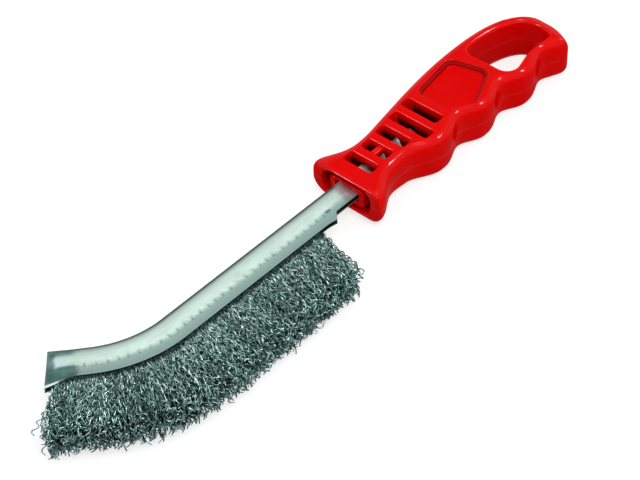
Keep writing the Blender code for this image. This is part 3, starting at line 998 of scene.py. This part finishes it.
class Field:
    """A socket of a node tree, on which sums, products and the like become nodes."""

    def __init__(self, tree, socket):
        self.tree = tree
        self.socket = socket

    def join(self, operation, first, second):
        return self.tree.add("ShaderNodeMath", {"operation": operation}, {0: first, 1: second})

    def __add__(self, other):
        return self.join("ADD", self, other)

    __radd__ = __add__

    def __sub__(self, other):
        return self.join("SUBTRACT", self, other)

    def __rsub__(self, other):
        return self.join("SUBTRACT", other, self)

    def __mul__(self, other):
        return self.join("MULTIPLY", self, other)

    __rmul__ = __mul__

    def __truediv__(self, other):
        return self.join("DIVIDE", self, other)

    def __abs__(self):
        return self.join("ABSOLUTE", self, 0)

    def fraction(self):
        return self.join("FRACT", self, 0)

    def part(self, axis):
        """One coordinate of a vector."""
        return self.tree.add("ShaderNodeSeparateXYZ", {}, {"Vector": self}, axis)

    def noise(self, scale, detail):
        """Noise over a vector, at one scale or at one for each axis."""
        vector = self
        if isinstance(scale, tuple):
            vector = self.tree.add("ShaderNodeMapping", {}, {"Vector": self, "Scale": scale})
            scale = 1.0
        inputs = {"Vector": vector, "Scale": scale, "Detail": detail}
        return self.tree.add("ShaderNodeTexNoise", {}, inputs)

    def rise(self, low, high):
        """Zero below low, one above high, smooth between."""
        inputs = {"Value": self, "From Min": low, "From Max": high}
        return self.tree.add("ShaderNodeMapRange", {"interpolation_type": "SMOOTHSTEP"}, inputs)

    def fall(self, low, high):
        """One below low, zero above high, smooth between."""
        return 1 - self.rise(low, high)

    def within(self, low, high, soft):
        """One between low and high, zero outside, with soft borders."""
        return self.rise(low - soft, low) * self.fall(high, high + soft)


class Tree:
    """The nodes of a material or of the world."""

    def __init__(self, owner):
        owner.use_nodes = True
        self.nodes = owner.node_tree.nodes
        self.links = owner.node_tree.links

    def add(self, kind, settings, inputs, output=0):
        """Add a node: its settings first, then the values or links of its sockets."""
        node = self.nodes.new(kind)
        for name, value in settings.items():
            setattr(node, name, value)
        for name, value in inputs.items():
            if isinstance(value, Field):
                self.links.new(value.socket, node.inputs[name])
            else:
                node.inputs[name].default_value = value
        return Field(self, node.outputs[output])

    def seen(self):
        """One for rays from the camera, in gloss and through glass, and zero for light."""
        shown = 0
        for kind in ("Is Camera Ray", "Is Glossy Ray", "Is Transmission Ray"):
            ray = self.add("ShaderNodeLightPath", {}, {}, kind)
            shown = self.add("ShaderNodeMath", {"operation": "MAXIMUM"}, {0: shown, 1: ray})
        return shown


class Finish(Tree):
    """A Principled material that is built up from fields."""

    def __init__(self, name, values):
        self.material = bpy.data.materials.new(name)
        super().__init__(self.material)
        self.shader = self.nodes["Principled BSDF"]
        for socket, value in values.items():
            self.shader.inputs[socket].default_value = value

    def feed(self, name, field):
        self.links.new(field.socket, self.shader.inputs[name])

    def point(self):
        """Object coordinates, in metres."""
        return self.add("ShaderNodeTexCoord", {}, {}, "Object")

    def tint(self, share, first, second):
        """A colour between two others."""
        first = first if isinstance(first, Field) else (*first, 1.0)
        second = second if isinstance(second, Field) else (*second, 1.0)
        inputs = {0: share, 6: first, 7: second}
        return self.add("ShaderNodeMix", {"data_type": "RGBA"}, inputs, 2)

    def paint(self, colour, layers):
        """Lay layers over a colour. Each has where it lies, the most that it covers, its colour."""
        for where, most, tone in layers:
            colour = self.tint(where * most, colour, tone)
        self.feed("Base Color", colour)

    def bump(self, distance, heights):
        inputs = {"Height": total(0, heights), "Distance": distance}
        self.feed("Normal", self.add("ShaderNodeBump", {}, inputs))


def total(base, parts):
    """A value with fields added to it, each as much as the number beside it says."""
    for field, amount in parts:
        base = base + field * amount
    return base


def round_mark(x, y, centre, radii, fade):
    """One inside a round mark and zero outside, fading between two squares of its reach."""
    across = (x - centre[0]) / radii[0]
    up = (y - centre[1]) / radii[1]
    return (across * across + up * up).fall(*fade)


def moulded_plastic():
    """Red plastic: slight flow in its colour, a fine skin, glossy edges and a parting line. Painted
    shade makes it darker deep in the slots, in the recess of the mouth and on the walls of the panels."""
    finish = Finish("red moulded plastic", {"Specular IOR Level": 0.0, "Coat Roughness": 0.10})
    point = finish.point()
    flow = point.noise(*flow_noise)
    skin = point.noise(*skin_noise)
    sink = point.noise(*sink_noise)
    smear = point.noise(*smear_noise)
    x = point.part(0) - mouth.x
    y = point.part(1) - mouth.y
    level = abs(point.part(2) - mouth.z)
    half_mouth = mouth_thickness / 2
    depth = half_mouth + (half_thickness - half_mouth) * x.rise(0, thinning_run) - level
    seam = level.fall(*seam_half)
    edges = depth.within(*edge_depths, shade_soft)
    # Masks of the painted shade: deep in the slots, in the recess of the mouth and on the panels' walls
    slots = x.within(slot_at, slots_end, shade_soft) * depth.rise(*slot_shade_depths)
    slots = slots * y.within(*slot_shade_y, slot_shade_soft)
    behind = x - recess_depth
    recess = x.rise(*recess_shade_x) * behind.fall(*recess_fade)
    recess = recess * y.within(*recess_shade_y, shade_soft) * behind.fall(*recess_end)
    recess = recess * level.fall(*recess_shade_half)
    panel = x.within(panel_near - panel_rim, panel_far + panel_rim, shade_soft)
    panel = panel * depth.within(*panel_shade_depths, panel_shade_soft)
    for way, slope, limit in panel_shade_sides:
        inside = y * way + (x - panel_near) * slope
        panel = panel * inside.rise(limit, limit + shade_soft)
    red = finish.tint(flow.rise(*middle_range), (0.79, 0.0004, 0.0004), (0.74, 0.0006, 0.0005))
    # Painted shade laid over the red in the slots, in the mouth's recess and on the panels' walls
    layers = (
        (slots, 1.0, (0.05, 0.0, 0.0)),
        (recess, 0.8, (0.16, 0.0, 0.0)),
        (panel, 0.85, (0.26, 0.0, 0.0)),
    )
    finish.paint(red, layers)
    finish.feed("Roughness", total(0.24, ((smear.rise(*smear_range), 0.10), (skin, 0.04))))
    coats = ((smear.rise(*coat_range), 0.02), (edges, 0.17), (seam, 0.25))
    finish.feed("Coat Weight", total(0.05, coats))
    finish.bump(0.0002, ((skin, 0.02), (sink, 0.3), (seam, 0.4)))
    return finish.material


def galvanised_steel():
    """Zinc-coated strip: pale walls, paler above the crease, rougher lips and a bright burr at the
    nose.
    Painted dark reflection and shade give it a dark fold along its back, darker lips, dark ticks along
    the crease, a dark dimple, a dark pinched nose, dark cut edges and a dark gap behind the lips. A
    painted reflection makes it rosy near the handle, and painted light makes it bright inside the
    handle."""
    finish = Finish("galvanised steel", {"Metallic": 0.85})
    run = finish.add("ShaderNodeUVMap", {}, {})
    point = finish.point()
    along = run.part(0)
    level = run.part(1)
    left = path_length - along
    above = level - crease_level
    below = half_height - level
    foot = level + half_height
    streak = run.noise(*streak_noise)
    cloud = run.noise(*cloud_noise)
    spangle = point.noise(*spangle_noise)
    grain = point.noise(*grain_noise)
    spots = point.noise(*spot_noise).rise(*spot_range)
    drift = cloud - 0.5
    heel = along.fall(*heel_run)
    nose = (left - drift * nose_wander).fall(*nose_left)
    ragged = total(above, ((drift, 0.0022), (spangle - 0.5, 0.0016), (heel, -0.0014)))
    band = ragged.fall(*band_rise)
    # Dark ticks along the crease: painted shade in the crimping tool's dents, which are dented in the
    # shape too
    beat = abs((along / tooth_pitch + cloud * tick_wander).fraction() - 0.5)
    tick = beat.fall(*tick_widths) * (above + cloud * level_wander).fall(*tick_top_rise)
    tick = tick * above.rise(*tick_rise) * spangle.rise(*broken_range) * along.rise(*tick_run)
    # A band just above the crease, painted paler
    paler_band = above.rise(*paler_rise) * above.fall(*paler_top_rise)
    fold = below.fall(*fold_below)
    shoulder = (below - drift * level_wander).fall(*shoulder_below)
    rim = (left - drift * rim_wander).fall(*rim_left)
    burr = left.fall(*burr_left) * foot.fall(*burr_foot)
    hidden = abs(point.part(2) - mouth.z).fall(*hidden_half)
    pale = finish.tint(streak.rise(*middle_range), (0.39, 0.49, 0.45), (0.445, 0.555, 0.51))
    # Painted shade on the lips, which turn away from the light; their band is rougher as well
    lip_shade = finish.tint(above.rise(*lip_rise), (0.185, 0.28, 0.252), (0.225, 0.335, 0.30))
    # Painted shade and dark reflection, mottled, on the pinched nose, its end and its shoulder
    nose_shade = finish.tint(spangle.rise(*middle_range), (0.030, 0.085, 0.078), (0.085, 0.17, 0.155))
    layers = (
        (paler_band * cloud.rise(*paler_range), 1.0, (0.49, 0.62, 0.56)),
        (spangle.rise(*upper_range), 0.35, (0.42, 0.54, 0.49)),
        (spots, 0.5, (0.34, 0.46, 0.42)),
        (band * (band_share + streak * band_streaks), 1.0, lip_shade),
        (tick, 0.9, (0.13, 0.23, 0.20)),
        # Painted dark reflection along the round back, darkest in a line at its ridge
        (fold, 0.96, (0.022, 0.055, 0.046)),
        (below.fall(*ridge_below), 0.6, (0.008, 0.024, 0.020)),
        # A pale patch near the end of the nose
        (round_mark(along, level, *pale_patch), 0.7, (0.44, 0.57, 0.64)),
        (nose * ragged.fall(*nose_rise), 0.92, nose_shade),
        (rim, 0.88, nose_shade),
        (nose * shoulder, 0.85, nose_shade),
        (round_mark(along, level, *dimple_shade), 0.85, (0.06, 0.11, 0.10)),
        (burr, 0.9, (0.66, 0.77, 0.74)),
        # Painted reflection of the red handle on the tang near the mouth
        (along.fall(*rosy_run), 0.7, (0.70, 0.52, 0.60)),
        # Painted light on the tang inside the handle, where it lies in shade
        (along.fall(*inside_run), 0.9, (0.95, 0.84, 0.89)),
        # Painted shade in the gap between the lips, below the crease
        (hidden * above.fall(*hidden_rise), 1.0, (0.008, 0.02, 0.017)),
        # Painted shade on the lips' cut edges, which face down under the strip
        (foot.fall(*cut_foot), 1.0, (0.012, 0.026, 0.022)),
    )
    finish.paint(pale, layers)
    finish.feed("Roughness", total(0.32, ((streak, 0.08), (band, 0.10), (spangle, 0.06), (fold, 0.25))))
    finish.bump(0.00004, ((streak, 0.4), (grain, 0.25), (spangle, 0.5)))
    return finish.material


def crimped_steel():
    """Drawn steel wire, with painted highlights along some kinks and painted shade along others, on
    the lower wires and at the roots.
    """
    finish = Finish("crimped steel wire", {"Metallic": 0.9})
    tone = finish.add("ShaderNodeAttribute", {"attribute_name": "tone"}, {}, "Fac")
    out = finish.add("ShaderNodeAttribute", {"attribute_name": "out"}, {}, "Fac")
    patchy = finish.point().noise(*patchy_noise)
    # Painted shade at the roots, under the lips: the tone falls towards them, and a dark layer covers
    # them
    tone = tone + (0.5 - out) * root_tone_gain
    # Painted highlight and shade from the tones of the kinks
    steel = finish.tint(tone.rise(*steel_tones), (0.037, 0.094, 0.081), (0.272, 0.426, 0.392))
    layers = (
        (tone.rise(*glint_tones), 1.0, (0.55, 0.685, 0.645)),
        # Darker and rougher in patches at random
        (patchy.rise(*upper_range), 0.4, (0.07, 0.13, 0.115)),
        (out.fall(*root_end), 0.95, (0.010, 0.036, 0.030)),
    )
    finish.paint(steel, layers)
    finish.feed("Roughness", total(0.26, ((tone, 0.12), (patchy, 0.08))))
    return finish.material


def core_steel():
    """The same steel drawn thicker, with draw marks along it."""
    finish = Finish("core steel wire", {"Metallic": 0.9})
    marks = finish.add("ShaderNodeUVMap", {}, {}).noise(*mark_noise)
    finish.feed("Base Color", finish.tint(marks, (0.36, 0.42, 0.40), (0.58, 0.65, 0.62)))
    finish.feed("Roughness", total(0.28, ((marks, 0.16),)))
    finish.bump(0.00002, ((marks, 1.0),))
    return finish.material


def pale_floor():
    """A matt grey floor that keeps the brush's shadow, and shines just enough towards the camera
    and in gloss to look white there."""
    finish = Finish("pale floor", {"Base Color": floor_grey, "Roughness": 0.9})
    inputs = {"Color": white, "Strength": finish.seen() * floor_shine}
    shine = finish.add("ShaderNodeEmission", {}, inputs)
    both = finish.add("ShaderNodeAddShader", {}, {0: Field(finish, finish.shader.outputs[0]), 1: shine})
    finish.links.new(both.socket, finish.nodes["Material Output"].inputs["Surface"])
    return finish.material


def lay_floor():
    floor = add_grid("floor", floor_cells, floor_cells, floor_size)
    floor.data.materials.append(pale_floor())


def light_world():
    """A white studio: full white to the camera and in gloss, a plain level on the brush."""
    world = bpy.data.worlds.new("studio")
    bpy.context.scene.world = world
    tree = Tree(world)
    level = world_level + tree.seen() * (1 - world_level)
    backdrop = tree.nodes["Background"]
    backdrop.inputs["Color"].default_value = white
    tree.links.new(level.socket, backdrop.inputs["Strength"])


def hang_lamp(name, spot, size, watts, lights_matt):
    """A soft square lamp that faces the middle of the frame."""
    lamp = bpy.data.lights.new(name, "AREA")
    lamp.shape = "SQUARE"
    lamp.size = size
    lamp.energy = watts
    holder = bring_in(name, lamp)
    turn = Vector(spot).to_track_quat("Z", "Y").to_matrix().to_4x4()
    holder.matrix_world = Matrix.Translation(spot) @ turn
    holder.visible_diffuse = lights_matt


def set_camera():
    """The camera that puts the sighted point of the tang at its pixel, at the fitted angle."""
    back = Vector((math.sin(camera_azimuth) * math.cos(camera_elevation),
                   -math.cos(camera_azimuth) * math.cos(camera_elevation),
                   math.sin(camera_elevation)))
    level = Vector((math.cos(camera_azimuth), math.sin(camera_azimuth), 0))
    upright_way = back.cross(level)
    right = level * math.cos(camera_roll) - upright_way * math.sin(camera_roll)
    up = level * math.sin(camera_roll) + upright_way * math.cos(camera_roll)
    away = image_width * camera_lens / sensor_width / pixels_per_metre
    across = (sighted_column - image_width / 2) / pixels_per_metre
    above = (image_height / 2 - sighted_row) / pixels_per_metre
    sighted = mouth + Vector((sighted_at, 0, 0))
    spot = sighted + back * away - right * across - up * above
    camera = bring_in("camera", bpy.data.cameras.new("camera"))
    camera.data.lens = camera_lens
    camera.data.sensor_width = sensor_width
    turn = Matrix((right, up, back)).transposed().to_4x4()
    camera.matrix_world = Matrix.Translation(spot) @ turn
    bpy.context.scene.camera = camera


set_camera()
light_world()
for lamp_values in lamps:
    hang_lamp(*lamp_values)
lay_floor()
hand_over(make_handle(), moulded_plastic(), "handle")
hand_over(make_channel(), galvanised_steel(), "channel")
hand_over(make_core_wire(), core_steel(), "core_wire")
wire_finish = crimped_steel()
for slice_index in range(fill_slices):
    hand_over(make_wires(slice_index), wire_finish, f"wire_fill_{slice_index + 1:02d}")

bpy.context.scene.view_settings.view_transform = "Standard"
